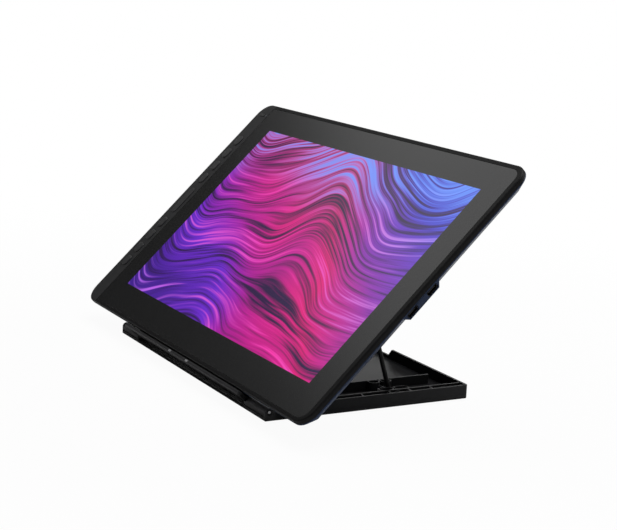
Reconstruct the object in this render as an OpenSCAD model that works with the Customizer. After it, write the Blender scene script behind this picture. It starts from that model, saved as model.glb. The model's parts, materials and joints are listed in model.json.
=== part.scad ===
// Pen display with a lit screen, standing at a slope on its folding plastic stand.
// Frame: X to the right, Y away from the user, Z up. The origin is the middle of the
// object's footprint, on the desk. All sizes are in millimetres.

/* [Tablet] */
// Width of the tablet
tablet_w = 368; // [364:1:374]
// Height of the tablet along its own slope
tablet_h = 219.2; // [218:0.2:222]
// Thickness of the tablet
tablet_t = 11.8; // [11.8:0.1:12.6]
// Radius of the tablet's four corners
tablet_r = 12.5; // [11:0.5:14]
// Height of the straight side of the front frame
frame_side = 3.2; // [3.2:0.1:3.6]
// How far in from the edge the rear shell's slope starts
taper_in = 10; // [9.6:0.1:10.4]

/* [Screen] */
// Width of the lit area
lit_w = 299.7; // [292:0.1:300]
// Height of the lit area
lit_h = 168.6; // [160:0.1:169]
// Thickness of the cover glass
glass_t = 1; // [0.8:0.1:1.1]
// Width of the frame's lip on the right of the glass
lip_side = 4.6; // [4:0.1:5]

/* [Keys] */
// Width of the key strip on the left
strip_w = 18.7; // [18.2:0.1:19.4]
// Width of one key
key_w = 7.7; // [7:0.1:8]
// Length of one key
key_l = 10; // [9:0.1:10.4]
// Distance from key to key
key_pitch = 14.2; // [14:0.1:14.6]
// Distance from the middle to the first key of each group
key_first = 24.7; // [24:0.1:25.4]
// How far a key stands above the strip
key_proud = 0.8; // [0.7:0.1:1.2]
// Travel of a key
key_travel = 0.5; // [0.3:0.05:0.5]
// Gap between a key and its opening
key_gap = 0.2; // [0.15:0.05:0.3]

/* [Stand base] */
// Width of the base tray
base_w = 244.3; // [244:0.1:247]
// Depth of the base tray from front to back
base_d = 157.2; // [154:0.1:160]
// Height of the base tray's walls
base_h = 9.4; // [9.2:0.1:10]
// Thickness of the outer walls
base_wall = 2; // [1.8:0.1:2.4]
// Thickness of the tray's floor
base_floor = 2; // [1.8:0.1:2.1]
// Width of the finger notch in the rear wall
notch_w = 45.4; // [40:0.1:60]
// How far the rubber feet stand below the tray
foot_proud = 0.6; // [0.4:0.1:1]

/* [Hinge and plate] */
// Slope of the tablet above the desk
tilt = 44.5; // [43.5:0.5:45.5]
// Width of the plate between the inner rails
plate_w = 164; // [156:1:166]
// Length of the plate up the slope
plate_l = 147; // [144:1:150]
// Width of the front ledge that carries the tablet
ledge_w = 194; // [190:1:198]
// How far the ledge reaches forward from the hinge line
ledge_n = 13.3; // [12.8:0.1:13.8]
// Radius of the hinge pins
pin_r = 1.2; // [1.1:0.05:1.3]
// Running clearance round pins and axles
run_gap = 0.05; // [0.03:0.01:0.08]

/* [Prop] */
// Radius of the prop's steel rod
rod_r = 1.6; // [1.5:0.1:1.7]
// Distance from the middle to each prop leg
leg_x = 104; // [102:0.5:105]
// Place of the bar's seat along the plate
seat_s = 107; // [105:0.5:109]
// Open clearance between the bar and its seat
seat_gap = 0.3; // [0.25:0.05:0.4]

/* [Hidden] */
$fn = 64;
eps = 0.5;
hw = tablet_w / 2;
bw = base_w / 2;
hinge_y = 3.1;
hinge_z = 5.8;
barrel_r = 2.4;
barrel_x = 90.5;
knuckle_x = barrel_x + 0.5;
knuckle_r = 3.1;
knuckle_z = hinge_z - 0.6;
pin_in = 18;

// plate levels along the plate's normal
skin_t = 1.2;
skin_top = 2;
skin_low = skin_top - skin_t;
pad_top = 2.4;
pad_in = 16;
pad_w = 24;
pad_l = 12;
pad_x = plate_w / 2 - pad_in - pad_w / 2;
skirt_low = -2;
skirt_t = 2;
skirt_s0 = 4;
plate_r = 8;
rib_s = [30, 60];
rib_t = 1.6;
ledge_out = -3;
ledge_in = -0.5;
root_out = -2.3;
bead_r = 1.55;
bead_s = ledge_in - bead_r;
bead_n = ledge_n - bead_r;
mark_x = 14.5;
liner_w = 150;
liner_n = 7.6;
liner_h = 4;
ledge_low = 3.8;
root_top = 4.5;
web_s0 = -0.4;
mark_l = 3.8;
mark_w = 1.5;
mark_t = 0.5;
mark_sink = 0.6;
line_l = 16;
line_w = 0.3;
line_deep = 0.25;
laid_s = 22;
laid_l = 13;
stand_lead = 8;

// prop
prop_y = 104;
prop_z = 5;
axle_r = 1.5;
eye_r = 2.5;
eye_l = 3.4;
bend_r = 6;
sleeve_r = rod_r + 0.5;
sleeve_l = 90;
bar_n = skin_low - sleeve_r - 0.9;
rack_x = 64;
rack_w = 6;
roof_n = bar_n + rod_r + seat_gap;
tooth_n = bar_n - 1.6;
stop_s = seat_s + rod_r + seat_gap;
tooth_pitch = 11;
tooth_count = 3;
tooth_w = 2;
tooth_ramp = 4;
rack_lead = 5;
rack_root = skin_low + 0.2;
bar_y = hinge_y + seat_s * cos(tilt) - bar_n * sin(tilt);
bar_z = hinge_z + seat_s * sin(tilt) + bar_n * cos(tilt);
leg_len = norm([bar_y - prop_y, bar_z - prop_z]);
leg_angle = atan2(bar_z - prop_z, prop_y - bar_y);

// base rails
rail1_x = 113;
rail2_x = 86;
rail_t = 1.6;
rail_h = base_h - 0.2;
rail2_h = base_h - 0.6;
rib_drop = 0.2;
rail1_y0 = 6;
rail2_y0 = 50;
rail2_y1 = 146.5;
wall_y0 = 5;
cross_y = [54, 75, 96.5, 112.5, 129.5];
cross_t = 1.2;
boss_r = 3.6;
boss_proud = 1;
socket_w = 7.4;
socket1_l = 11.4;
socket2_l = 8.6;
socket_r = 3;
socket_t = 1.1;
socket_part = 0.6;
socket_lap = 0.4;
tray_r = 3;
rear_band = 12;
front_wall_t = 2;
front_wall_h = 2.2;
notch_sill = 4.35;
notch_slope = 4.6;
groove_h = 1.1;
groove_deep = 0.9;
pin_end_gap = 0.2;
pin_sink_r = pin_r + 0.9;
pin_sink = 0.8;
axle_over = 1.4;
foot_in = 16;
foot_r = 6;
foot_gap = 0.3;
foot_seat = 0.8;
foot_spots = [for (x = [-bw + foot_in, bw - foot_in], y = [foot_in, base_d - foot_in]) [x, y]];

// tablet levels, from the rear face at 0 to the front at tablet_t
tab_s0 = 0.1;
tab_n0 = pad_top + 0.05;
frame_z = tablet_t - frame_side;
shell_side = 0.9;
taper_h = frame_z - shell_side;
glass_low = 0.1;
glass_gap = 0.1;
glass_z = tablet_t - glass_low - glass_t;
glass_x0 = -hw + strip_w + glass_gap;
glass_x1 = hw - lip_side - glass_gap;
glass_y0 = 3.0;
glass_y1 = tablet_h - 3.7;
glass_r = 8.6;
glass_square = 40;
lit_x = (glass_x0 + glass_x1) / 2 + 0.2;
lit_y = tablet_h / 2 + 0.6;
panel_edge = 2.4;
panel_gap = 0.8;
panel_w = lit_w + 2 * panel_edge;
panel_h = lit_h + 2 * panel_edge;
lcd_t = 1.6;
backlight_t = 1.5;
digitizer_t = 0.8;
shield_t = 0.4;
lcd_z = glass_z - lcd_t;
backlight_z = lcd_z - backlight_t;
digitizer_z = backlight_z - digitizer_t;
shield_z = digitizer_z - shield_t;
board_edge = 0.5;
open_w = panel_w + 2 * panel_gap;
open_h = panel_h + 2 * panel_gap;
sheet_w = lit_w + 2 * board_edge;
sheet_h = lit_h + 2 * board_edge;
shell_floor = 1.4;
// pockets of the rear shell, one above the other inside the slope of its edge
slope_wall = 1.5;
step1_in = taper_in + 0.5;
step1_z = 3.2;
step2_in = taper_in * (taper_h - step1_z) / taper_h + slope_wall;
board_t = 1.2;
board_w = 64;
board_l = 98;
board_x1 = hw - step2_in - 0.5;
board_x0 = board_x1 - board_w;
board_y0 = 62;
board_y1 = board_y0 + board_l;
post_in = 6;
// chips on the main board: place from its lower left corner, and width
chips = [[16, 16, 14], [37, 10, 10], [14, 46, 18], [38, 50, 9], [20, 76, 12]];
chip_t = 0.9;
flex_v = 132;
flex_w = 24;
flex_t = 0.3;
flex_out = 0.6;
plug_w = 6;
board_top = step1_z + board_t;
flex_x = lit_x + panel_w / 2;
flex_z = board_top + chip_t;
flex_gap = 0.1;
step3_z = flex_z - flex_gap;
step3_in = taper_in * (taper_h - step3_z) / taper_h + slope_wall;
step4_z = taper_h - 1;
step4_in = taper_in * (taper_h - step4_z) / taper_h + slope_wall;

// ports in the right side
port_v = [99.7, 118.4];
port_w = 8.9;
port_t = 3.16;
port_l = 7.4;
port_deep = 6.4;
port_skin = 0.3;
tongue_w = 6.6;
tongue_t = 0.7;
tongue_l = 5.6;
port_set = 0.6;
port_gap = 0.25;
port_z = board_top + port_t / 2;
bump_z = 3.4;
bump_t = taper_in * (taper_h - bump_z) / taper_h + 0.2;
bump_over = 8;
bump_slope = 3.5;

// keys
key_in = 10.5;
key_x = -hw + key_in;
key_mid = tablet_h / 2 + 0.4;
strip_t = 1.4;
strip_z = tablet_t - strip_t;
flange = 0.6;
key_r = 3;
key_low = strip_z - flange;
key_steps = [3, 2, 1, 0, 0, 1, 2, 3];
key_rows = [for (i = [0 : 7]) key_mid + (i < 4 ? 1 : -1) * (key_first + key_steps[i] * key_pitch)];
touch_l = 26.6;
touch_seat = 1;
power_in = 9.5;
power_x = -hw + power_in;
power_top = 11.9;
power_v = tablet_h - power_top;
power_l = 9;
power_w = 3.2;
led_in = 15.8;
led_x = -hw + led_in;
led_r = 0.7;
dome_t = 0.8;
dome_r = 2.5;
power_dome_r = 1.8;
key_board_t = 1;
dome_gap = 0.1;
dome_top = key_low - key_travel - dome_gap;
key_board_top = dome_top - dome_t;
key_board_z = key_board_top - key_board_t;
key_board_x = -hw + 3.2;
key_board_w = 14.4;
key_board_v0 = 16;
key_board_v1 = tablet_h - 10;
hollow_in = 2;
hollow_v0 = 12;
hollow_v1 = tablet_h - 8;
screw_in = 12.5;
screw_rows = [screw_in, tablet_h - screw_in];
screw_columns = [-hw + 26, 0, hw - 13];
screw_spots = [for (x = screw_columns, v = screw_rows) [x, v]];
screw_r = 1.1;
screw_head_r = 2.2;
screw_head_t = 1;
screw_sink = 2;
screw_slot = 0.6;
screw_tip = frame_z + 1.5;
post_r = 2.4;
screw_post_r = 3.4;
screw_post_top = screw_sink + screw_head_t + 1.2;
key_post_in = 30;
key_post_x = -hw + taper_in + post_r + 0.1;
rear_pad_in = 24;
rear_pad_v = 16;
rear_pad_w = 36;
rear_pad_l = 8;
rear_pad_t = 0.8;

// the footprint's middle, from the ledge's bead or the frame's edge to the tray or the tablet's top
front_bead = hinge_y + bead_s * cos(tilt) - bead_n * sin(tilt) - bead_r;
front_edge = hinge_y + tab_s0 * cos(tilt) - (tab_n0 + tablet_t) * sin(tilt);
rear_edge = hinge_y + (tab_s0 + tablet_h) * cos(tilt) - (tab_n0 + taper_h) * sin(tilt);
centre_y = (min(front_bead, front_edge) + max(base_d, rear_edge)) / 2;

black = [0.16, 0.16, 0.165];
dark = [0.09, 0.09, 0.1];
steel = [0.72, 0.72, 0.74];

// Stand coordinates: y = 0 at the tray's front face, z = 0 at its underside.
module on_stand() {
  translate([0, -centre_y, foot_proud])
    children();
}

// Plate coordinates: y up the slope and z along the normal, from the hinge line.
module on_plate() {
  on_stand()
    translate([0, hinge_y, hinge_z])
      rotate([tilt, 0, 0])
        children();
}

// Tablet coordinates: y up from the bottom edge, z from the rear face to the front.
module on_tablet() {
  on_plate()
    translate([0, tab_s0, tab_n0])
      children();
}

// Rounded rectangle, with its lower left corner at [x0, y0].
module rrect(x0, y0, w, h, r) {
  translate([x0, y0]) {
    translate([r, 0])
      square([w - 2 * r, h]);
    translate([0, r])
      square([w, h - 2 * r]);
    for (x = [r, w - r], y = [r, h - r])
      translate([x, y])
        circle(r);
  }
}

module rbox(x0, y0, z0, w, h, t, r) {
  translate([0, 0, z0])
    linear_extrude(t)
      rrect(x0, y0, w, h, r);
}

// Rod along X.
module rod_x(x0, x1, y, z, r) {
  translate([x0, y, z])
    rotate([0, 90, 0])
      cylinder(h = x1 - x0, r = r);
}

// Prism along X of an outline in Y and Z.
module prism_x(x0, x1) {
  translate([x0, 0, 0])
    rotate([90, 0, 90])
      linear_extrude(x1 - x0)
        children();
}

// Prism along Y of an outline in X and Z.
module prism_y(y0, y1) {
  translate([0, y1, 0])
    rotate([90, 0, 0])
      linear_extrude(y1 - y0)
        children();
}

// Both sides of the stand.
module both() {
  children();
  mirror([1, 0, 0])
    children();
}

// Pair of oval socket walls along a rail, which meet beside the prop's axle.
module socket_pair(x0, l)
  translate([0, 0, base_floor - eps])
    linear_extrude(rail_h - rib_drop - base_floor + eps)
      for (y0 = [prop_y - socket_part / 2 - l, prop_y + socket_part / 2])
        difference() {
          rrect(x0, y0, socket_w, l, socket_r);
          rrect(x0 + socket_t, y0 + socket_t, socket_w - 2 * socket_t, l - 2 * socket_t,
            socket_r - socket_t);
        }

module tray_half() {
  // side wall, rails and cross ribs
  translate([bw - base_wall, wall_y0, 0])
    cube([base_wall, base_d - wall_y0 - tray_r - 1, base_h]);
  translate([rail1_x, rail1_y0, 0])
    cube([rail_t, base_d - rail1_y0 - 1, rail_h]);
  translate([rail2_x, rail2_y0, 0])
    cube([rail_t, rail2_y1 - rail2_y0, rail2_h]);
  for (y = cross_y)
    translate([rail1_x, y - cross_t / 2, 0])
      cube([bw - rail1_x - eps, cross_t, rail_h - rib_drop]);
  // front knuckle with a rounded top
  prism_x(knuckle_x, bw) {
    translate([knuckle_r, knuckle_z])
      circle(knuckle_r);
    square([2 * knuckle_r, knuckle_z]);
  }
  // bosses that hold the prop's axle, and the sockets beside them
  for (x = [rail1_x, rail2_x])
    rod_x(x - boss_proud, x + rail_t + boss_proud, prop_y, prop_z, boss_r);
  socket_pair(rail1_x - socket_w + socket_lap, socket1_l);
  socket_pair(rail2_x + rail_t - socket_lap, socket2_l);
}

module base_tray()
  color(black)
    on_stand()
      difference() {
        union() {
          rbox(-bw, 0, 0, base_w, base_d, base_floor, tray_r);
          // rear wall with its rounded corners
          difference() {
            rbox(-bw, base_d - rear_band, 0, base_w, rear_band, base_h, tray_r);
            rbox(-bw + base_wall, base_d - 2 * rear_band - base_wall, base_floor, base_w - 2 * base_wall,
              2 * rear_band, base_h, tray_r - 1);
          }
          translate([-knuckle_x - eps, 0, 0])
            cube([2 * knuckle_x + 2 * eps, front_wall_t, front_wall_h]);
          both()
            tray_half();
        }
        // finger notch in the rear wall
        prism_y(base_d - rear_band / 2, base_d + eps)
          polygon([
            [notch_slope - notch_w / 2, notch_sill],
            [notch_w / 2 - notch_slope, notch_sill],
            [notch_w / 2, base_h],
            [notch_w / 2, base_h + eps],
            [-notch_w / 2, base_h + eps],
            [-notch_w / 2, base_h]
          ]);
        // groove across the front of the knuckles, in line with the front wall's top
        both()
          translate([knuckle_x - eps, -eps, front_wall_h])
            cube([bw - base_wall - knuckle_x + eps, groove_deep + eps, groove_h]);
        // holes for the hinge pins and for the prop's axles
        both() {
          rod_x(knuckle_x - eps, bw + eps, hinge_y, hinge_z, pin_r);
          rod_x(bw - pin_sink, bw + eps, hinge_y, hinge_z, pin_sink_r);
          rod_x(rail2_x - 2 * boss_proud, rail1_x + rail_t + 2 * boss_proud, prop_y, prop_z, axle_r);
        }
        // seats of the rubber feet
        for (p = foot_spots)
          translate([p[0], p[1], -eps])
            cylinder(h = foot_seat + eps, r = foot_r + foot_gap);
      }

module base_feet()
  color([0.1, 0.1, 0.1])
    on_stand()
      for (p = foot_spots)
        translate([p[0], p[1], -foot_proud])
          cylinder(h = foot_proud + foot_seat, r = foot_r);

module hinge_pin_right()
  color(steel)
    on_stand()
      rod_x(barrel_x - pin_in + 1, bw - pin_end_gap, hinge_y, hinge_z, pin_r);

module hinge_pin_left()
  color(steel)
    on_stand()
      rod_x(-bw + pin_end_gap, -barrel_x + pin_in - 1, hinge_y, hinge_z, pin_r);

module prop_axles()
  color(steel)
    on_stand()
      both()
        rod_x(rail2_x - axle_over, rail1_x + rail_t + axle_over, prop_y, prop_z, axle_r);

// Stepped rack under the plate, whose first step takes the prop's bar.
module rack(x) {
  steps = [for (k = [0 : tooth_count - 1]) stop_s + k * tooth_pitch];
  last = stop_s + tooth_count * tooth_pitch;
  teeth = [for (a = steps) each [[a, roof_n], [a, tooth_n], [a + tooth_w, tooth_n],
    [a + tooth_pitch - tooth_ramp, roof_n]]];
  start = [[seat_s - rack_lead, rack_root], [seat_s - rack_lead, roof_n]];
  prism_x(x - rack_w / 2, x + rack_w / 2)
    polygon(concat(start, teeth, [[last - tooth_ramp, rack_root]]));
}

module support_plate()
  color(black)
    on_plate()
      difference() {
        union() {
          // skin and skirt, with ribs across
          rbox(-plate_w / 2, 0, skin_low, plate_w, plate_l, skin_t, plate_r);
          difference() {
            rbox(-plate_w / 2, skirt_s0, skirt_low, plate_w, plate_l - skirt_s0, skin_low - skirt_low + 0.2,
              plate_r);
            rbox(-plate_w / 2 + skirt_t, skirt_s0 + skirt_t, skirt_low - eps, plate_w - 2 * skirt_t,
              plate_l - skirt_s0 - 2 * skirt_t, skin_low - skirt_low + eps, plate_r - skirt_t);
          }
          for (s = rib_s)
            translate([-plate_w / 2 + 1, s, skirt_low + 0.6])
              cube([plate_w - 2, rib_t, skin_low - skirt_low - 0.4]);
          rack(rack_x);
          rack(-rack_x);
          // hinge barrel, and the ledge that stands on it
          rod_x(-barrel_x, barrel_x, 0, 0, barrel_r);
          translate([-barrel_x, web_s0, 0])
            cube([2 * barrel_x, skirt_s0 - web_s0, skin_top]);
          translate([-barrel_x, root_out, 0])
            cube([2 * barrel_x, ledge_in - root_out, root_top]);
          translate([-ledge_w / 2, ledge_out, ledge_low])
            cube([ledge_w, ledge_in - ledge_out, bead_n - ledge_low]);
          rod_x(-ledge_w / 2, ledge_w / 2, bead_s, bead_n, bead_r);
        }
        // bores for the hinge pins
        both()
          rod_x(barrel_x - pin_in, barrel_x + eps, 0, 0, pin_r + run_gap);
        // room for the prop's bar in the side skirts, laid down and standing
        both()
          for (span = [[laid_s, laid_l], [seat_s - stand_lead, stand_lead + rod_r + 3 * seat_gap]])
            translate([plate_w / 2 - skirt_t - 0.4, span[0], skirt_low - eps])
              cube([2 * skirt_t, span[1], skin_low - skirt_low + eps]);
        // flat seats of the two pale marks and the fine line between them
        for (x = [-mark_x, mark_x])
          translate([x - mark_l / 2, bead_s - mark_w / 2, ledge_n - mark_sink])
            cube([mark_l, mark_w, 2]);
        translate([-line_l / 2, bead_s - line_w / 2, ledge_n - line_deep])
          cube([line_l, line_w, 2]);
      }

module plate_pads()
  color(dark)
    on_plate()
      for (side = [-1, 1], s = [pad_in, plate_l - pad_in - pad_l])
        rbox(side * pad_x - pad_w / 2, s, skin_top, pad_w, pad_l, pad_top - skin_top, 3);

module ledge_liner()
  color(dark)
    on_plate()
      translate([-liner_w / 2, ledge_in, liner_n])
        cube([liner_w, -ledge_in, liner_h]);

module ledge_marks()
  color([0.75, 0.75, 0.76])
    on_plate()
      for (x = [-mark_x, mark_x])
        translate([x - mark_l / 2, bead_s - mark_w / 2, ledge_n - mark_sink])
          cube([mark_l, mark_w, mark_t]);

// Steel rod bent to a U, with an eye at each end.
module prop_frame()
  color([0.14, 0.14, 0.145])
    on_stand()
      translate([0, prop_y, prop_z])
        rotate([90 - leg_angle, 0, 0])
          difference() {
            union() {
              rod_x(bend_r - leg_x, leg_x - bend_r, 0, leg_len, rod_r);
              both() {
                translate([leg_x - bend_r, 0, leg_len - bend_r])
                  rotate([90, 0, 0])
                    rotate_extrude(angle = 90)
                      translate([bend_r, 0])
                        circle(rod_r);
                translate([leg_x, 0, 0])
                  cylinder(h = leg_len - bend_r, r = rod_r);
                rod_x(leg_x - eye_l / 2, leg_x + eye_l / 2, 0, 0, eye_r);
              }
            }
            both()
              rod_x(leg_x - eye_l, leg_x + eye_l, 0, 0, axle_r + run_gap);
          }

module prop_sleeve()
  color([0.1, 0.1, 0.1])
    on_stand()
      difference() {
        rod_x(-sleeve_l / 2, sleeve_l / 2, bar_y, bar_z, sleeve_r);
        rod_x(-sleeve_l / 2 - eps, sleeve_l / 2 + eps, bar_y, bar_z, rod_r);
      }

// Outside of the rear shell: a flat rear face, sloped edges and cones at the round corners.
module shell_outside() {
  rbox(-hw, 0, taper_h, tablet_w, tablet_h, frame_z - taper_h, tablet_r);
  prism_x(tablet_r - hw, hw - tablet_r)
    polygon([[taper_in, 0], [tablet_h - taper_in, 0], [tablet_h, taper_h], [0, taper_h]]);
  prism_y(tablet_r, tablet_h - tablet_r)
    polygon([[taper_in - hw, 0], [hw - taper_in, 0], [hw, taper_h], [-hw, taper_h]]);
  for (x = [tablet_r - hw, hw - tablet_r], v = [tablet_r, tablet_h - tablet_r])
    translate([x, v, 0])
      cylinder(h = taper_h, r1 = tablet_r - taper_in, r2 = tablet_r);
}

module inner_pocket(inset, z0, z1)
  rbox(-hw + inset, inset, z0, tablet_w - 2 * inset, tablet_h - 2 * inset, z1 - z0,
    max(tablet_r - inset, 2));

module rear_shell()
  color([0.13, 0.14, 0.16])
    on_tablet()
      difference() {
        union() {
          difference() {
            union() {
              shell_outside();
              // thicker edge round the ports, with sloped ends
              prism_x(hw - bump_t, hw)
                polygon([
                  [port_v[0] - bump_over, taper_h],
                  [port_v[0] - bump_over + bump_slope, bump_z],
                  [port_v[1] + bump_over - bump_slope, bump_z],
                  [port_v[1] + bump_over, taper_h],
                  [port_v[1] + bump_over, frame_z],
                  [port_v[0] - bump_over, frame_z]
                ]);
            }
            inner_pocket(step1_in, shell_floor, frame_z + eps);
            inner_pocket(step2_in, step1_z, frame_z + eps);
            inner_pocket(step3_in, step3_z, frame_z + eps);
            inner_pocket(step4_in, step4_z, frame_z + eps);
          }
          // posts under the key board and the main board, and bosses for the screws
          for (v = [key_post_in, key_mid, tablet_h - key_post_in])
            translate([key_post_x, v, shell_floor - eps])
              cylinder(h = key_board_z - shell_floor + eps, r = post_r);
          for (v = [board_y0 + post_in, board_y1 - post_in])
            translate([board_x0 + post_in, v, shell_floor - eps])
              cylinder(h = step1_z - shell_floor + eps, r = post_r);
          for (p = screw_spots)
            translate([p[0], p[1], shell_floor - eps]) {
              cylinder(h = frame_z - shell_floor + eps, r = post_r);
              cylinder(h = screw_post_top - shell_floor + eps, r = screw_post_r);
            }
        }
        for (p = screw_spots)
          translate([p[0], p[1], -eps]) {
            cylinder(h = frame_z + 2 * eps, r = screw_r + 0.2);
            cylinder(h = screw_sink + screw_head_t + eps, r = screw_head_r + 0.25);
          }
        for (v = port_v)
          prism_x(hw - step2_in - 1, hw + eps)
            rrect(v - port_w / 2 - port_gap, port_z - port_t / 2 - port_gap, port_w + 2 * port_gap,
              port_t + 2 * port_gap, 1.5);
      }

module front_frame()
  color(black)
    on_tablet()
      difference() {
        rbox(-hw, 0, frame_z, tablet_w, tablet_h, frame_side, tablet_r);
        // seat of the glass, and the opening behind it
        translate([0, 0, glass_z])
          linear_extrude(frame_side) {
            rrect(glass_x0 - glass_gap, glass_y0 - glass_gap, glass_x1 - glass_x0 + 2 * glass_gap,
              glass_y1 - glass_y0 + 2 * glass_gap, glass_r);
            translate([glass_x0 - glass_gap, glass_y0 - glass_gap])
              square([glass_square, glass_y1 - glass_y0 + 2 * glass_gap]);
          }
        rbox(lit_x - open_w / 2, lit_y - open_h / 2, frame_z - eps, open_w, open_h, frame_side + 2 * eps, 2);
        // hollow under the key strip
        rbox(-hw + hollow_in, hollow_v0, frame_z - eps, strip_w - 2 * hollow_in, hollow_v1 - hollow_v0,
          strip_z - frame_z + eps, 4);
        // openings for the keys, the power button and the status light
        for (v = key_rows)
          rbox(key_x - key_w / 2 - key_gap, v - key_l / 2 - key_gap, frame_z, key_w + 2 * key_gap,
            key_l + 2 * key_gap, frame_side + eps, key_r + key_gap);
        rbox(power_x - power_l / 2 - key_gap, power_v - power_w / 2 - key_gap, frame_z,
          power_l + 2 * key_gap, power_w + 2 * key_gap, frame_side + eps, power_w / 2);
        translate([led_x, power_v, frame_z])
          cylinder(h = frame_side + eps, r = led_r);
        // seat of the touch strip
        rbox(key_x - key_w / 2, key_mid - touch_l / 2, tablet_t - touch_seat, key_w, touch_l, 2, key_r);
        for (p = screw_spots)
          translate([p[0], p[1], frame_z - eps])
            cylinder(h = screw_tip - frame_z + eps, r = screw_r);
      }

module cover_glass()
  color([0.2, 0.2, 0.21])
    on_tablet()
      translate([0, 0, glass_z])
        linear_extrude(glass_t) {
          rrect(glass_x0, glass_y0, glass_x1 - glass_x0, glass_y1 - glass_y0, glass_r);
          translate([glass_x0, glass_y0])
            square([glass_square, glass_y1 - glass_y0]);
        }

module lcd_panel()
  color([0.45, 0.3, 0.75])
    on_tablet()
      translate([lit_x - panel_w / 2, lit_y - panel_h / 2, lcd_z])
        cube([panel_w, panel_h, lcd_t]);

module backlight_plate()
  color([0.9, 0.92, 0.95])
    on_tablet()
      translate([lit_x - panel_w / 2, lit_y - panel_h / 2, backlight_z])
        cube([panel_w, panel_h, backlight_t]);

module digitizer_board()
  color([0.1, 0.3, 0.2])
    on_tablet()
      translate([lit_x - sheet_w / 2, lit_y - sheet_h / 2, digitizer_z])
        cube([sheet_w, sheet_h, digitizer_t]);

module shield_plate()
  color([0.7, 0.7, 0.72])
    on_tablet()
      translate([lit_x - sheet_w / 2, lit_y - sheet_h / 2, shield_z])
        cube([sheet_w, sheet_h, shield_t]);

module main_board()
  color([0.08, 0.32, 0.18])
    on_tablet() {
      translate([board_x0, board_y0, step1_z])
        cube([board_w, board_l, board_t]);
      for (c = chips)
        translate([board_x0 + c[0], board_y0 + c[1], board_top - 0.1])
          cube([c[2], c[2], chip_t + 0.1]);
      // connector of the display's ribbon
      translate([flex_x - plug_w - 1, flex_v, board_top - 0.1])
        cube([plug_w, flex_w, chip_t + 0.1]);
    }

// Ribbon from the panel's edge, folded back under it to its connector on the main board.
module display_flex()
  color([0.75, 0.5, 0.15])
    on_tablet()
      prism_y(flex_v, flex_v + flex_w)
        polygon([
          [flex_x, lcd_z + 1],
          [flex_x + flex_out, lcd_z + 1],
          [flex_x + flex_out, flex_z],
          [flex_x - plug_w - 1, flex_z],
          [flex_x - plug_w - 1, flex_z + flex_t],
          [flex_x + flex_out - flex_t, flex_z + flex_t],
          [flex_x + flex_out - flex_t, lcd_z + 1 - flex_t],
          [flex_x, lcd_z + 1 - flex_t]
        ]);

module usb_ports()
  color(steel)
    on_tablet()
      for (v = port_v) {
        difference() {
          prism_x(hw - port_set - port_l, hw - port_set)
            rrect(v - port_w / 2, port_z - port_t / 2, port_w, port_t, 1.4);
          prism_x(hw - port_set - port_deep, hw)
            rrect(v - port_w / 2 + port_skin, port_z - port_t / 2 + port_skin, port_w - 2 * port_skin,
              port_t - 2 * port_skin, 1.1);
        }
        translate([hw - port_set - port_deep - 0.2, v - tongue_w / 2, port_z - tongue_t / 2])
          cube([tongue_l, tongue_w, tongue_t]);
      }

module key_board()
  color([0.08, 0.32, 0.18])
    on_tablet()
      translate([key_board_x, key_board_v0, key_board_z])
        cube([key_board_w, key_board_v1 - key_board_v0, key_board_t]);

module dome_switches()
  color([0.8, 0.8, 0.82])
    on_tablet() {
      for (v = key_rows)
        translate([key_x, v, key_board_top])
          cylinder(h = dome_t, r = dome_r);
      translate([power_x, power_v, key_board_top])
        cylinder(h = dome_t, r = power_dome_r);
    }

module touch_strip()
  color([0.19, 0.19, 0.195])
    on_tablet()
      rbox(key_x - key_w / 2 + 0.1, key_mid - touch_l / 2 + 0.1, tablet_t - touch_seat, key_w - 0.2,
        touch_l - 0.2, touch_seat + 0.5, key_r - 0.1);

module status_light()
  color([0.85, 0.9, 1])
    on_tablet()
      translate([led_x, power_v, key_board_top])
        cylinder(h = tablet_t - key_board_top, r = led_r);

module rear_pads()
  color([0.1, 0.1, 0.1])
    on_tablet()
      for (x = [-hw + rear_pad_in, hw - rear_pad_in - rear_pad_w],
          v = [rear_pad_v, tablet_h - rear_pad_v - rear_pad_l])
        rbox(x, v, -rear_pad_t, rear_pad_w, rear_pad_l, rear_pad_t, 3);

module shell_screws()
  color(steel)
    on_tablet()
      for (p = screw_spots)
        translate([p[0], p[1], screw_sink]) {
          difference() {
            cylinder(h = screw_head_t, r = screw_head_r);
            for (turn = [0, 90])
              rotate([0, 0, turn])
                translate([-1.5, -screw_slot / 2, -eps])
                  cube([3, screw_slot, eps + 0.4]);
          }
          translate([0, 0, screw_head_t - 0.1])
            cylinder(h = screw_tip - screw_sink - screw_head_t + 0.1, r = screw_r);
        }

// Key cap with a retaining flange that rests under the strip.
module key(v)
  color([0.19, 0.19, 0.195])
    on_tablet() {
      rbox(key_x - key_w / 2, v - key_l / 2, strip_z - 0.1, key_w, key_l, strip_t + key_proud + 0.1, key_r);
      rbox(key_x - key_w / 2 - 0.7, v - key_l / 2 - 0.6, key_low, key_w + 1.4, key_l + 1.2, flange,
        key_r + 0.6);
    }

module power_button()
  color([0.19, 0.19, 0.195])
    on_tablet() {
      rbox(power_x - power_l / 2, power_v - power_w / 2, strip_z - 0.1, power_l, power_w, strip_t + 0.5,
        power_w / 2 - 0.1);
      rbox(power_x - power_l / 2 - 0.5, power_v - power_w / 2 - 0.6, key_low, power_l + 1, power_w + 1.2,
        flange, 1.8);
    }

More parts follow.
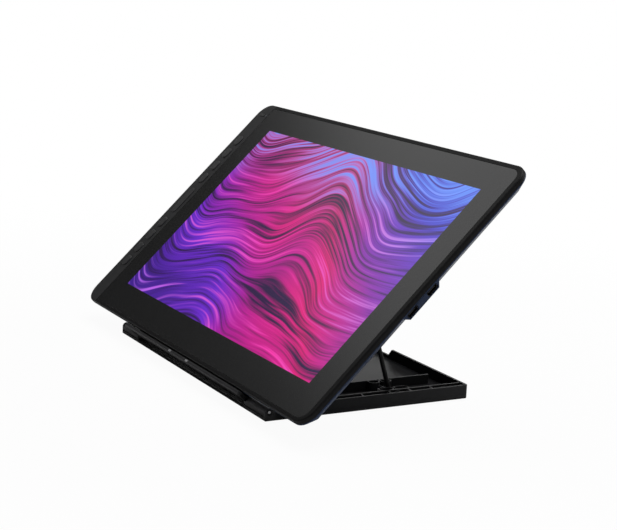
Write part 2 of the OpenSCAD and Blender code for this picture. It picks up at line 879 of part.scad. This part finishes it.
base_tray();
base_feet();
hinge_pin_left();
hinge_pin_right();
prop_axles();
support_plate();
plate_pads();
ledge_liner();
ledge_marks();
prop_frame();
prop_sleeve();
rear_shell();
front_frame();
cover_glass();
lcd_panel();
backlight_plate();
digitizer_board();
shield_plate();
main_board();
display_flex();
usb_ports();
key_board();
dome_switches();
touch_strip();
status_light();
rear_pads();
shell_screws();
key(key_rows[0]);  // key_1
key(key_rows[1]);  // key_2
key(key_rows[2]);  // key_3
key(key_rows[3]);  // key_4
key(key_rows[4]);  // key_5
key(key_rows[5]);  // key_6
key(key_rows[6]);  // key_7
key(key_rows[7]);  // key_8
power_button();
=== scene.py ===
"""Looks of a pen display that lies at a slope on its folding stand."""
import json
import math

import bmesh
import bpy
from mathutils import Matrix, Vector


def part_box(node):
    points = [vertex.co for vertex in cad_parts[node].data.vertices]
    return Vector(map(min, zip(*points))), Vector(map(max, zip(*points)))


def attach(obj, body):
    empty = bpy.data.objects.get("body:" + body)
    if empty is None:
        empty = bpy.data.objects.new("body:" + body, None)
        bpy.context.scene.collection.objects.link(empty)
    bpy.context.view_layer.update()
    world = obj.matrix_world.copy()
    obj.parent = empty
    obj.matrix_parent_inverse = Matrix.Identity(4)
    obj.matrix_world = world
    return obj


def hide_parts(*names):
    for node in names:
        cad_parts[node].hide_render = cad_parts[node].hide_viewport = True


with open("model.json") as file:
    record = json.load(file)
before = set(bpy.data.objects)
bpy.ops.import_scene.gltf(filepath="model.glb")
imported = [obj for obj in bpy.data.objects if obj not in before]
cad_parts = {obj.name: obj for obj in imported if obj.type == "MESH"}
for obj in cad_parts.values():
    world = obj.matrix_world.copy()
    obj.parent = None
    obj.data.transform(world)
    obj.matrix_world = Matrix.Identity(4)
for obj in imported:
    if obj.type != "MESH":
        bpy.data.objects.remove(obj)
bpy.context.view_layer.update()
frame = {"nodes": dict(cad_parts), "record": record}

MM = 0.001
RECORD = frame["record"]
JOINTS = {joint["name"]: joint for joint in RECORD["behaviour"]["joints"]}
BODY_OF = {node: body for body, nodes in RECORD["behaviour"]["bodies"].items() for node in nodes}
SLOT_OF = {part["node"]: part["material_slot"] for part in RECORD["subparts"]}

# Stand: the axis of the plate's hinge, the slope of plate and tablet, and half the tray's width
HINGE = Vector(JOINTS["plate_hinge"]["pos_m"])
NORMAL = Vector(JOINTS["tablet_lift"]["axis"])
TILT = math.atan2(-NORMAL.y, NORMAL.z)
TRAY_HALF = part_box("base_tray")[1][0]

# Tablet in its own frame: x to the right, v up from the bottom edge, depth from the rear face
PLATE_TO_TABLET = Vector((0, 0.1 * MM, 2.45 * MM))
TABLET = Matrix.Translation(HINGE) @ Matrix.Rotation(TILT, 4, "X") @ Matrix.Translation(PLATE_TO_TABLET)
TABLET_FOOT = TABLET.to_translation()
TABLET_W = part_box("front_frame")[1][0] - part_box("front_frame")[0][0]
TABLET_H = 219.2 * MM
TABLET_T = 11.8 * MM
TABLET_R = 12.5 * MM
LIT_W = 299.7 * MM
LIT_H = 168.6 * MM
LIT_X = 7.25 * MM
LIT_V = TABLET_H / 2 + 0.6 * MM
TABLET_LEFT = -TABLET_W / 2
STRIP_RIGHT = TABLET_LEFT + 18.7 * MM

# Rounded edges: widths in millimetres; on the frame, edges off the rim get the share RIM_FINE of it
EDGE_WIDTHS = {
    "base_tray": 0.3, "support_plate": 0.3, "rear_shell": 0.25, "touch_strip": 0.3, "power_button": 0.2,
    "rear_pads": 0.25, "base_feet": 0.2, "plate_pads": 0.12, "ledge_liner": 0.12, "cover_glass": 0.12,
    "prop_frame": 0.2, "prop_sleeve": 0.2, "hinge_pin_left": 0.2, "hinge_pin_right": 0.2,
    "prop_axles": 0.2, "usb_ports": 0.06, "shell_screws": 0.1, "ledge_marks": 0.08,
}
KEY_EDGE = 0.7
RIM_EDGE = 1.3
RIM_FINE = 0.1
EDGE_SEGMENTS = 2
WIDE_SEGMENTS = 4
SAME_POINT = 0.002 * MM
ONE_PLANE = math.radians(0.5)
NEAR_RIM = 0.05 * MM
SHARP_EDGE = math.radians(32)
SMOOTH_UNDER = math.radians(46)
SAME_RUN = math.cos(math.radians(35))
ROOM_SHARE = 0.4
LEAST_ROUND = 0.45
LARGE_FACE = 3 * MM * MM
FAR_SMALLER = 12

# Studio: each light's place, the height that it faces, its width and height, and its power in watts
LIGHTS = {
    "left_softbox": ((-1.55, -0.2, 1.72), 0.1, 1.3, 1.3, 6),
    "left_front_softbox": ((-1.6, -0.95, 1.15), 0.1, 1.2, 1.0, 0.3),
    "top_softbox": ((0.1, 0.6, 1.9), 0.05, 1.6, 1.6, 30),
    "front_softbox": ((0.3, -2.0, 1.0), 0.1, 1.4, 0.8, 2.2),
    "rear_softbox": ((-1.9, 1.1, 0.4), 0.05, 2.0, 0.5, 6.5),
    "back_fill": ((0.4, 2.1, 0.8), 0.08, 1.4, 0.8, 7),
    "right_fill": ((2.2, -0.3, 0.8), 0.1, 1.2, 1.2, 4.2),
}
FLOOR_SIZE = 30
WORLD_LIGHT = 0.05
RAYS_TO_WHITE = ("Is Camera Ray", "Is Glossy Ray", "Is Transmission Ray")

# Camera: its place from the stand's lower front edge, its turns, and its lens for a picture in pixels
STAND_EDGE = Vector((0, HINGE.y - 3.1 * MM, HINGE.z - 5.8 * MM))
EYE = Vector((0.9971, -0.4570, 0.3069))
AZIMUTH = math.radians(61.06)
ELEVATION = math.radians(11.61)
ROLL = math.radians(2.60)
PICTURE_WIDTH = 617
FOCAL_PIXELS = 1597.8
SENSOR_WIDTH = 36.0
NEAREST_SEEN = 0.05


class Wire:
    """An output socket of a finish, with the arithmetic that its patterns use."""

    def __init__(self, finish, socket):
        self.finish = finish
        self.socket = socket

    def maths(self, operation, *terms):
        return self.finish.node("ShaderNodeMath", {"operation": operation}, terms)

    def __add__(self, other):
        return self.maths("ADD", self, other)

    __radd__ = __add__

    def __mul__(self, other):
        return self.maths("MULTIPLY", self, other)

    __rmul__ = __mul__

    def __sub__(self, other):
        return self.maths("SUBTRACT", self, other)

    def __rsub__(self, other):
        return self.maths("SUBTRACT", other, self)

    def __truediv__(self, other):
        return self.maths("DIVIDE", self, other)

    def __rtruediv__(self, other):
        return self.maths("DIVIDE", other, self)

    def sine(self):
        return self.maths("SINE", self)

    def root(self):
        return self.maths("SQRT", self)

    def unsigned(self):
        return self.maths("ABSOLUTE", self)

    def larger(self, other):
        return self.maths("MAXIMUM", self, other)

    def swing(self, span):
        """Noise of 0 to 1 as a change about 0, by the given span in all."""
        return (self - 0.5) * span

    def step(self, low, high):
        """0 below low, 1 above high, smooth in between."""
        settings = {"interpolation_type": "SMOOTHSTEP"}
        values = {"Value": self, "From Min": low, "From Max": high}
        return self.finish.node("ShaderNodeMapRange", settings, values)


class Finish:
    """A material whose nodes are added one by one."""

    def __init__(self, name):
        self.material = bpy.data.materials.new(name)
        self.material.use_nodes = True
        self.tree = self.material.node_tree
        self.tree.nodes.clear()
        self.out = self.tree.nodes.new("ShaderNodeOutputMaterial")

    def node(self, kind, settings=None, values=(), output=0):
        """Adds a node, sets its settings and then its sockets, and returns one of its outputs."""
        made = self.tree.nodes.new(kind)
        for name, setting in (settings or {}).items():
            if name == "stops":
                ramp = made.color_ramp
                while len(ramp.elements) < len(setting):
                    ramp.elements.new(1)
                for element, (place, colour) in zip(ramp.elements, setting):
                    element.position = place
                    element.color = colour
            else:
                setattr(made, name, setting)
        pairs = values.items() if isinstance(values, dict) else enumerate(values)
        for key, value in pairs:
            if isinstance(value, Wire):
                self.tree.links.new(value.socket, made.inputs[key])
            else:
                made.inputs[key].default_value = value
        return Wire(self, made.outputs[output])

    def place(self):
        """The point on the piece in the object's own frame."""
        return self.node("ShaderNodeTexCoord", output="Object")

    def along(self, axis):
        """One coordinate of that point."""
        return self.node("ShaderNodeSeparateXYZ", values=[self.place()], output=axis)

    def join(self, x, y, z):
        return self.node("ShaderNodeCombineXYZ", values=[x, y, z])

    def noise(self, scale, detail, rough, vector=None):
        place = vector or self.place()
        values = {"Vector": place, "Scale": scale, "Detail": detail, "Roughness": rough}
        return self.node("ShaderNodeTexNoise", values=values)

    def ramp(self, factor, *stops):
        """A colour for each value of the factor, from stops of a value and its colour."""
        return self.node("ShaderNodeValToRGB", {"stops": stops}, [factor])

    def mix(self, factor, a, b):
        """Colour a where the factor is 0, and b where it is 1."""
        return self.node("ShaderNodeMix", {"data_type": "RGBA"}, {0: factor, 6: a, 7: b}, output=2)

    def bump(self, height, strength, distance):
        values = {"Height": height, "Strength": strength, "Distance": distance}
        return self.node("ShaderNodeBump", values=values)

    def end(self, shader):
        """Ends the material in a shader."""
        self.tree.links.new(shader.socket, self.out.inputs["Surface"])
        return self.material

    def surface(self, **values):
        """Ends the material in one Principled shader; socket names take _ for a space."""
        sockets = {name.replace("_", " "): value for name, value in values.items()}
        return self.end(self.node("ShaderNodeBsdfPrincipled", values=sockets))


def rgb(red, green, blue):
    """An sRGB colour of 0 to 255 as linear red, green, blue and alpha."""
    def linear(value):
        value = value / 255
        return value / 12.92 if value <= 0.04045 else ((value + 0.055) / 1.055) ** 2.4
    return (linear(red), linear(green), linear(blue), 1)


def grey(level):
    """A plastic's grey of 0 to 255, a touch towards blue."""
    return rgb(level, level, level + 1)


def up_slope(finish, origin):
    """The way up the slope of plate and tablet, from a point of it."""
    back = finish.along("Y") - origin.y
    up = finish.along("Z") - origin.z
    return back * math.cos(TILT) + up * math.sin(TILT)


def off_slope(finish, origin):
    """The way off that slope, towards its front, from a point of it."""
    back = finish.along("Y") - origin.y
    up = finish.along("Z") - origin.z
    return up * math.cos(TILT) - back * math.sin(TILT)


def grained(finish, tone_of, grain, rough, shine):
    """Ends a moulded plastic with fine grain; tone_of gives its colour from spots of 0 to 1."""
    spark = finish.noise(scale=grain, detail=4, rough=0.6)
    cloud = finish.noise(scale=28, detail=3, rough=0.55)
    tone = tone_of((cloud * 0.6 + spark * 0.4).step(0.36, 0.66))
    gloss = rough + cloud.swing(0.16) + spark.swing(0.12)
    relief = finish.bump(spark, strength=0.25, distance=0.06 * MM)
    return finish.surface(Base_Color=tone, Roughness=gloss, Specular_IOR_Level=shine, Normal=relief)


def moulded(name, colour, pale, grain, rough, shine):
    """Fine-textured moulded plastic with faint flow marks and handling shine."""
    finish = Finish(name)
    return grained(finish, lambda spots: finish.mix(spots, colour, pale), grain, rough, shine)


def plate_plastic(name):
    """The plate's plastic: painted shade makes it black round the hinge barrel, and a painted highlight
    makes it pale along the ledge's rounded lip.
    """
    finish = Finish(name)
    barrel_top = (1.2 * MM, 2.6 * MM)
    barrel_front = (4.2 * MM, 6.4 * MM)
    bead_foot = (9.6 * MM, 11.2 * MM)
    v = up_slope(finish, HINGE)
    depth = off_slope(finish, HINGE)
    # Painted shade: near the hinge barrel the plastic is coloured almost black.
    barrel = (1 - v.step(*barrel_top)) * (1 - depth.step(*barrel_front))
    # Painted highlight: the ledge's lip, which faces the light, is coloured pale.
    bead_light = depth.step(*bead_foot)

    def tone(spots):
        plain = finish.mix(spots, grey(24), grey(30))
        # A pale copy of the plastic as painted light on the ledge's lip, then painted shade round the
        # barrel.
        with_painted_light = finish.mix(bead_light, plain, finish.mix(spots, grey(50), grey(58)))
        return finish.mix(barrel, with_painted_light, rgb(3, 3, 3))
    return grained(finish, tone, grain=1500, rough=0.46, shine=0.12)


def tray_plastic(name):
    """The tray's plastic: painted light makes the outer walls and the knuckles paler, and painted shade
    makes the slot under the barrel black.
    """
    finish = Finish(name)
    knuckle_end = (90.8 * MM, 91.2 * MM)
    knuckle_back = (3.2 * MM, 6.0 * MM)
    wall_skin = (TRAY_HALF - 0.6 * MM, TRAY_HALF - 0.3 * MM)
    slot_top = (HINGE.z - 2.9 * MM, HINGE.z - 2.4 * MM)
    slot_front = (-2.6 * MM, -1.4 * MM)
    off_centre = finish.along("X").unsigned()
    back = finish.along("Y") - HINGE.y
    beside = off_centre.step(*knuckle_end)
    front = 1 - back.step(*knuckle_back)
    # Painted light: the outer faces of the side walls are coloured paler than the inner ones.
    wall = off_centre.step(*wall_skin)
    under = 1 - finish.along("Z").step(*slot_top)
    # Painted shade: the slot under the hinge barrel is coloured almost black.
    slot = (1 - beside) * front * under * back.step(*slot_front)

    def tone(spots):
        inner = finish.mix(spots, grey(25), grey(31))
        plain = finish.mix(wall, inner, finish.mix(spots, grey(34), grey(40)))
        # Painted light: the knuckles at the front are coloured pale.
        with_painted_light = finish.mix(front * beside, plain, finish.mix(spots, grey(62), grey(70)))
        return finish.mix(slot, with_painted_light, rgb(2, 2, 2))
    return grained(finish, tone, grain=1500, rough=0.46 + slot * 0.4, shine=0.12)


def frame_plastic(name):
    """The frame's plastic: painted light makes the key strip's front and the left edge pale, and
    painted shade makes the lips and sides dark.
    """
    finish = Finish(name)
    strip_end = (STRIP_RIGHT, STRIP_RIGHT + 0.2 * MM)
    front_skin = (TABLET_T - 0.2 * MM, TABLET_T - 0.02 * MM)
    left_edge = (TABLET_LEFT + 1.2 * MM, TABLET_LEFT + 1.6 * MM)
    x = finish.along("X")
    # Painted light: the front of the key strip is coloured pale.
    front = (1 - x.step(*strip_end)) * off_slope(finish, TABLET_FOOT).step(*front_skin)
    # Painted light: the left edge, which catches the light from the left, is coloured pale.
    left = 1 - x.step(*left_edge)

    def tone(spots):
        # Painted shade: the lips and sides are coloured near black.
        sides = finish.mix(spots, grey(6), grey(9))
        left_edge_lit = finish.mix(left, sides, finish.mix(spots, grey(47), grey(53)))
        return finish.mix(front, left_edge_lit, finish.mix(spots, grey(44), grey(50)))
    return grained(finish, tone, grain=2200, rough=0.52, shine=0.18)


def key_plastic(name):
    """Keys whose upper faces are painted pale as lit, and whose sides are painted dark as shade."""
    finish = Finish(name)
    top_skin = (TABLET_T + 0.15 * MM, TABLET_T + 0.45 * MM)
    # Painted light: the keys' upper faces are coloured pale; their sides get painted shade, near black.
    lit_top = off_slope(finish, TABLET_FOOT).step(*top_skin)

    def tone(spots):
        sides = finish.mix(spots, grey(4), grey(6))
        return finish.mix(lit_top, sides, finish.mix(spots, grey(47), grey(55)))
    return grained(finish, tone, grain=2400, rough=0.44, shine=0.3)


def rubbery(name):
    """Matte black rubber with a dusty bloom."""
    finish = Finish(name)
    dust = finish.noise(scale=90, detail=5, rough=0.65)
    grain = finish.noise(scale=2600, detail=2, rough=0.5)
    tone = finish.mix(dust.step(0.42, 0.72), rgb(18, 18, 18), rgb(28, 28, 28))
    relief = finish.bump(grain, strength=0.3, distance=0.08 * MM)
    return finish.surface(Base_Color=tone, Roughness=0.78 + grain.swing(0.2), Normal=relief)


def turned_steel(name):
    """Bright steel with fine turning lines round its length."""
    finish = Finish(name)
    drawn = finish.join(finish.along("X") * 9000, finish.along("Y") * 250, finish.along("Z") * 250)
    lines = finish.noise(scale=1, detail=2, rough=0.5, vector=drawn)
    stain = finish.noise(scale=160, detail=3, rough=0.5)
    tone = finish.mix(stain.step(0.3, 0.75), rgb(206, 207, 210), rgb(232, 232, 233))
    gloss = 0.26 + lines.swing(0.22)
    relief = finish.bump(lines, strength=0.1, distance=0.03 * MM)
    return finish.surface(Base_Color=tone, Metallic=1.0, Roughness=gloss, Normal=relief)


def pin_steel(name):
    """The hinge pins' steel: a painted glint makes the middle of the ends bright, and painted shade
    blackens them round the rim.
    """
    finish = Finish(name)
    pin_rim = (0.8 * MM, 1.1 * MM)
    back = finish.along("Y") - HINGE.y
    up = finish.along("Z") - HINGE.z
    # Painted shade: a dark ring round the pin's end.
    rim = (back * back + up * up).root().step(*pin_rim)
    stain = finish.noise(scale=900, detail=3, rough=0.5)
    # Painted glint: the middle of the pin's end is coloured near white.
    glint_centre = finish.mix(stain, rgb(244, 244, 245), rgb(252, 252, 252))
    tone = finish.mix(rim, glint_centre, grey(20))
    return finish.surface(Base_Color=tone, Metallic=0.25, Roughness=0.34 + stain.swing(0.2))


def coated_rod(name):
    """Satin black coating on steel rod, with slight orange peel."""
    finish = Finish(name)
    peel = finish.noise(scale=900, detail=2, rough=0.4)
    wear = finish.noise(scale=60, detail=4, rough=0.6)
    tone = finish.mix(wear.step(0.45, 0.8), grey(8), grey(15))
    relief = finish.bump(peel, strength=0.2, distance=0.08 * MM)
    gloss = 0.48 + wear.swing(0.2)
    return finish.surface(Base_Color=tone, Roughness=gloss, Specular_IOR_Level=0.2, Normal=relief)


def lit_picture(finish, x, v):
    """Colours of the picture: waves of silk strands, violet at the left, crimson, and blue above."""
    across = (x - LIT_X) / LIT_W + 0.5
    up = (v - LIT_V) / LIT_H + 0.5
    drift = finish.noise(scale=1.5, detail=1, rough=0.4, vector=finish.join(across * 1.7, up, 0.0))
    swell = (across * 7.5 + 0.8).sine() * 0.085
    ripple = (across * 15 + up * 3).sine() * 0.025
    wave = up + swell + ripple + drift.swing(0.5)
    broad = finish.join(across * 2.4, wave * 34, 0.0)
    narrow = finish.join(across * 4.0, wave * 96, 3.0)
    strand = finish.noise(scale=1, detail=2, rough=0.5, vector=broad)
    thread = finish.noise(scale=1, detail=2, rough=0.5, vector=narrow)
    fold = (wave * 17 + across * 2).sine() * 0.5 + 0.5
    light = strand.step(0.34, 0.68) * 0.52 + fold * 0.26 + thread.step(0.3, 0.72) * 0.3
    zones = finish.ramp(across * 0.62 + wave * 0.42 + drift.swing(0.3),
                        (0.05, rgb(62, 24, 140)), (0.26, rgb(108, 36, 206)), (0.42, rgb(176, 16, 150)),
                        (0.58, rgb(226, 12, 122)), (0.76, rgb(140, 28, 172)), (0.98, rgb(64, 52, 204)))
    crests = finish.ramp(across * 0.6 + wave * 0.4,
                         (0.0, rgb(170, 108, 255)), (0.5, rgb(255, 52, 176)), (1.0, rgb(136, 140, 255)))
    cloth = finish.mix(light.step(0.1, 0.62), rgb(40, 10, 66), zones)
    sheen = finish.mix(light.step(0.62, 1.02), cloth, crests)
    top_light = (up - 0.06 * (across * 9).sine()).step(0.66, 0.98) * light.step(0.3, 0.8)
    return finish.mix(top_light * 0.9, sheen, rgb(96, 150, 255))


def etched_glass(name):
    """Etched cover glass: a dark printed border, and the lit picture right behind it."""
    finish = Finish(name)
    soft = 0.25 * MM
    x = finish.along("X")
    v = up_slope(finish, TABLET_FOOT)
    lit_across = 1 - (x - LIT_X).unsigned().step(LIT_W / 2 - soft, LIT_W / 2)
    lit_up = 1 - (v - LIT_V).unsigned().step(LIT_H / 2 - soft, LIT_H / 2)
    lit = lit_across * lit_up
    etch = finish.noise(scale=5200, detail=2, rough=0.5)
    haze = finish.noise(scale=16, detail=3, rough=0.5)
    border = finish.mix(haze.step(0.3, 0.7), grey(13), grey(17))
    face = finish.mix(lit, border, grey(3))
    glow = finish.mix(lit, (0, 0, 0, 1), lit_picture(finish, x, v))
    gloss = 0.24 + etch.swing(0.05) + haze.swing(0.03)
    relief = finish.bump(etch, strength=0.05, distance=0.02 * MM)
    return finish.surface(Base_Color=face, Roughness=gloss, Emission_Color=glow, Emission_Strength=0.95,
                          Specular_IOR_Level=0.4, Normal=relief)


def port_metal(name):
    """Black-nickel socket, almost black inside."""
    finish = Finish(name)
    mouth = (TABLET_W / 2 - 3.0 * MM, TABLET_W / 2 - 0.7 * MM)
    inside = 1 - finish.along("X").step(*mouth)
    grain = finish.noise(scale=700, detail=3, rough=0.5)
    tone = finish.mix(inside, rgb(58, 58, 60), grey(14))
    gloss = 0.34 + grain * 0.15
    return finish.surface(Base_Color=tone, Metallic=0.9 - inside * 0.6, Roughness=gloss)


def light_pipe(name):
    """Clear light pipe, unlit."""
    finish = Finish(name)
    ripple = finish.noise(scale=900, detail=2, rough=0.5)
    tone = finish.mix(ripple, rgb(84, 88, 96), rgb(104, 108, 116))
    return finish.surface(Base_Color=tone, Roughness=0.25 + ripple * 0.1)


def circuit(name):
    """Green solder mask with faint tracks."""
    finish = Finish(name)
    x = finish.along("X")
    v = up_slope(finish, TABLET_FOOT)
    tracks = ((x * 900).sine() * (v * 700).sine()).step(0.2, 0.5)
    tone = finish.mix(tracks * 0.5, rgb(16, 70, 44), rgb(40, 112, 70))
    return finish.surface(Base_Color=tone, Roughness=0.4 + tracks * 0.1)


def sheet_metal(name):
    """Rolled sheet with grain along its length."""
    finish = Finish(name)
    rolled = finish.join(finish.along("X") * 60, up_slope(finish, TABLET_FOOT) * 4000, 0.0)
    grain = finish.noise(scale=1, detail=3, rough=0.5, vector=rolled)
    tone = finish.mix(grain, rgb(150, 151, 154), rgb(190, 191, 194))
    return finish.surface(Base_Color=tone, Metallic=1.0, Roughness=0.35 + grain.swing(0.2))


def amber_film(name):
    """Amber ribbon with copper tracks."""
    finish = Finish(name)
    tracks = (up_slope(finish, TABLET_FOOT) * 9000).sine().step(0.0, 0.3)
    tone = finish.mix(tracks, rgb(196, 120, 30), rgb(150, 82, 24))
    return finish.surface(Base_Color=tone, Roughness=0.35 + tracks * 0.1)


def clear_guide(name):
    """Milky light guide with rows of fine dots."""
    finish = Finish(name)
    x = finish.along("X")
    v = up_slope(finish, TABLET_FOOT)
    dots = ((x * 3000).sine() * (v * 3000).sine()).step(0.3, 0.6)
    tone = finish.mix(dots, rgb(206, 214, 224), rgb(238, 242, 248))
    return finish.surface(Base_Color=tone, Roughness=0.3 + dots * 0.2)


# The look of each material slot, and of the nodes that have a look of their own
SLOT_LOOKS = {
    "frame_plastic": frame_plastic("frame_plastic_look"),
    "shell_plastic": moulded("shell_plastic_look", rgb(26, 40, 66), rgb(34, 50, 80),
                             grain=1800, rough=0.42, shine=0.25),
    "key_plastic": key_plastic("key_plastic_look"),
    "mark_pale": moulded("mark_pale_look", rgb(150, 150, 152), rgb(174, 174, 176),
                         grain=1200, rough=0.45, shine=0.15),
    "rubber": rubbery("rubber_look"),
    "steel": turned_steel("steel_look"),
    "rod_black": coated_rod("rod_black_look"),
    "glass_cover": etched_glass("glass_cover_look"),
    "panel": sheet_metal("panel_look"),
    "light_guide": clear_guide("light_guide_look"),
    "circuit_board": circuit("circuit_board_look"),
    "sheet_metal": sheet_metal("sheet_metal_look"),
    "flex_film": amber_film("flex_film_look"),
    "light_pipe": light_pipe("light_pipe_look"),
}
NODE_LOOKS = {
    "usb_ports": port_metal("port_look"),
    "support_plate": plate_plastic("plate_plastic_look"),
    "base_tray": tray_plastic("tray_plastic_look"),
    "hinge_pin_left": pin_steel("pin_left_look"),
    "hinge_pin_right": pin_steel("pin_right_look"),
}


def look_of(node):
    return NODE_LOOKS[node] if node in NODE_LOOKS else SLOT_LOOKS[SLOT_OF[node]]


def dress(obj, material):
    """Gives an object one material in place of those it has."""
    obj.data.materials.clear()
    obj.data.materials.append(material)


def only(obj):
    """Selects one object and makes it the active one."""
    bpy.ops.object.select_all(action="DESELECT")
    obj.select_set(True)
    bpy.context.view_layer.objects.active = obj


def on_rim(edge):
    """Whether an edge runs along the outline of the tablet's front."""
    corner = Vector((TABLET_W / 2 - TABLET_R, TABLET_H / 2 - TABLET_R))
    for vert in edge.verts:
        x, v, depth = TABLET.inverted() @ vert.co
        out = Vector((max(abs(x) - corner.x, 0), max(abs(v - TABLET_H / 2) - corner.y, 0)))
        if abs(out.length - TABLET_R) > NEAR_RIM or abs(depth - TABLET_T) > NEAR_RIM:
            return False
    return True


def weigh_edges(mesh, width, fine):
    """Gives each sharp edge as much of the rounding as the short edges beside it have room for.

    Where fine is under 1, only the outline of the tablet's front gets the whole width.
    The other edges then get that share of it."""
    shape = bmesh.new()
    shape.from_mesh(mesh)
    weight = shape.edges.layers.float.new("bevel_weight_edge")
    sharp = {edge for edge in shape.edges if edge.calc_face_angle(0) > SHARP_EDGE}
    for edge in sharp:
        along = (edge.verts[1].co - edge.verts[0].co).normalized()
        room = ROOM_SHARE * edge.calc_length() + width
        for other in {other for corner in edge.verts for other in corner.link_edges} - {edge}:
            way = (other.verts[1].co - other.verts[0].co).normalized()
            if other not in sharp or abs(way.dot(along)) < SAME_RUN:
                room = min(room, ROOM_SHARE * other.calc_length() * way.cross(along).length)
        share = 1 if fine == 1 or on_rim(edge) else fine
        edge[weight] = min(share, room / width) if room > LEAST_ROUND * share * width else 0
    shape.to_mesh(mesh)
    shape.free()


def part_flats(mesh):
    """Marks edges between a large face and a far smaller one as sharp, to keep flats evenly shaded."""
    areas = {}
    for face in mesh.polygons:
        for key in face.edge_keys:
            areas.setdefault(key, []).append(face.area)
    for edge in mesh.edges:
        sizes = areas.get(edge.key, [0])
        if max(sizes) > LARGE_FACE and max(sizes) > FAR_SMALLER * min(sizes):
            edge.use_edge_sharp = True


def merge_flats():
    """In edit mode, joins the faces that lie side by side in one plane."""
    bpy.ops.mesh.select_all(action="SELECT")
    bpy.ops.mesh.dissolve_limited(angle_limit=ONE_PLANE)
    bpy.ops.mesh.select_all(action="SELECT")


def apply_modifier(piece, kind, **settings):
    """Adds a modifier with its settings, and applies it."""
    modifier = piece.modifiers.new(kind.lower(), kind)
    for name, setting in settings.items():
        setattr(modifier, name, setting)
    bpy.ops.object.modifier_apply(modifier=modifier.name)


def softened(node, width, segments, fine=1):
    """Makes a copy of a CAD node, with rounded edges, that takes the node's place."""
    piece = bpy.data.objects.new(f"{node}_rounded", frame["nodes"][node].data.copy())
    bpy.context.collection.objects.link(piece)
    only(piece)
    bpy.ops.object.mode_set(mode="EDIT")
    bpy.ops.mesh.select_all(action="SELECT")
    bpy.ops.mesh.remove_doubles(threshold=SAME_POINT)
    merge_flats()
    bpy.ops.mesh.vert_connect_concave()
    bpy.ops.object.mode_set(mode="OBJECT")
    weigh_edges(piece.data, width, fine)
    apply_modifier(piece, "BEVEL", width=width, segments=segments, limit_method="WEIGHT",
                   use_clamp_overlap=False, loop_slide=False)
    bpy.ops.object.mode_set(mode="EDIT")
    merge_flats()
    bpy.ops.object.mode_set(mode="OBJECT")
    bpy.ops.object.shade_smooth_by_angle(angle=SMOOTH_UNDER)
    part_flats(piece.data)
    apply_modifier(piece, "WEIGHTED_NORMAL", keep_sharp=True)
    dress(piece, look_of(node))
    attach(piece, BODY_OF[node])
    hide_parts(node)


def studio_floor():
    """A pale floor that the camera sees as white, as do mirrored rays that meet it further out."""
    near_white = 0.95
    clear_from = (0.2, 0.75)
    mirror_from = (0.5, 1.3)
    bpy.ops.object.select_all(action="DESELECT")
    bpy.ops.mesh.primitive_plane_add(size=FLOOR_SIZE, location=(0, 0, 0))
    floor = bpy.context.object
    floor.name = "studio_floor"
    finish = Finish("studio_floor_look")
    cloud = finish.noise(scale=0.7, detail=2, rough=0.5)
    tone = finish.mix(cloud, rgb(236, 236, 236), rgb(240, 240, 240))
    diffuse = finish.node("ShaderNodeBsdfDiffuse", values={"Color": tone})
    white = finish.node("ShaderNodeEmission", values={"Color": (1, 1, 1, 1), "Strength": 1.0})
    rays = [finish.node("ShaderNodeLightPath", output=ray) for ray in RAYS_TO_WHITE]
    camera_ray, glossy_ray, clear_ray = rays
    x = finish.along("X")
    y = finish.along("Y")
    reach = (x * x + y * y).root()
    looked_at = camera_ray * (near_white + reach.step(*clear_from) * (1 - near_white))
    mirrored = glossy_ray.larger(clear_ray) * reach.step(*mirror_from)
    seen = finish.node("ShaderNodeMixShader", values=[looked_at.larger(mirrored), diffuse, white])
    dress(floor, finish.end(seen))


def studio_light():
    """A dim even world, and soft lights from above and all sides, strongest from above."""
    world = bpy.data.worlds.new("studio")
    bpy.context.scene.world = world
    world.use_nodes = True
    background = world.node_tree.nodes["Background"]
    background.inputs["Color"].default_value = (1, 1, 1, 1)
    background.inputs["Strength"].default_value = WORLD_LIGHT
    for name, (place, aim_height, width, height, power) in LIGHTS.items():
        lamp = bpy.data.lights.new(name, "AREA")
        lamp.shape = "RECTANGLE"
        lamp.size = width
        lamp.size_y = height
        lamp.energy = power
        holder = bpy.data.objects.new(name, lamp)
        holder.location = place
        aim = Vector((0, 0, aim_height)) - Vector(place)
        holder.rotation_euler = aim.to_track_quat("-Z", "Y").to_euler()
        bpy.context.collection.objects.link(holder)


def camera():
    """The camera that took the picture, from a fit of the tablet's and the stand's edges."""
    back = Vector((math.sin(AZIMUTH) * math.cos(ELEVATION), -math.cos(AZIMUTH) * math.cos(ELEVATION),
                   math.sin(ELEVATION)))
    right = Vector((math.cos(AZIMUTH), math.sin(AZIMUTH), 0))
    up = back.cross(right)
    right_rolled = right * math.cos(ROLL) + up * math.sin(ROLL)
    up_rolled = up * math.cos(ROLL) - right * math.sin(ROLL)
    turn = Matrix((right_rolled, up_rolled, back)).transposed().to_4x4()
    lens = bpy.data.cameras.new("camera")
    lens.sensor_width = SENSOR_WIDTH
    lens.lens = FOCAL_PIXELS * SENSOR_WIDTH / PICTURE_WIDTH
    lens.clip_start = NEAREST_SEEN
    holder = bpy.data.objects.new("camera", lens)
    holder.matrix_world = Matrix.Translation(STAND_EDGE + EYE) @ turn
    bpy.context.collection.objects.link(holder)
    bpy.context.scene.camera = holder


camera()
studio_floor()
studio_light()
for node, obj in frame["nodes"].items():
    if node in EDGE_WIDTHS:
        softened(node, EDGE_WIDTHS[node] * MM, EDGE_SEGMENTS)
    elif node == "front_frame":
        softened(node, RIM_EDGE * MM, WIDE_SEGMENTS, RIM_FINE)
    elif node.startswith("key_") and node != "key_board":
        softened(node, KEY_EDGE * MM, WIDE_SEGMENTS)
    else:
        dress(obj, look_of(node))

bpy.context.scene.view_settings.view_transform = "Standard"
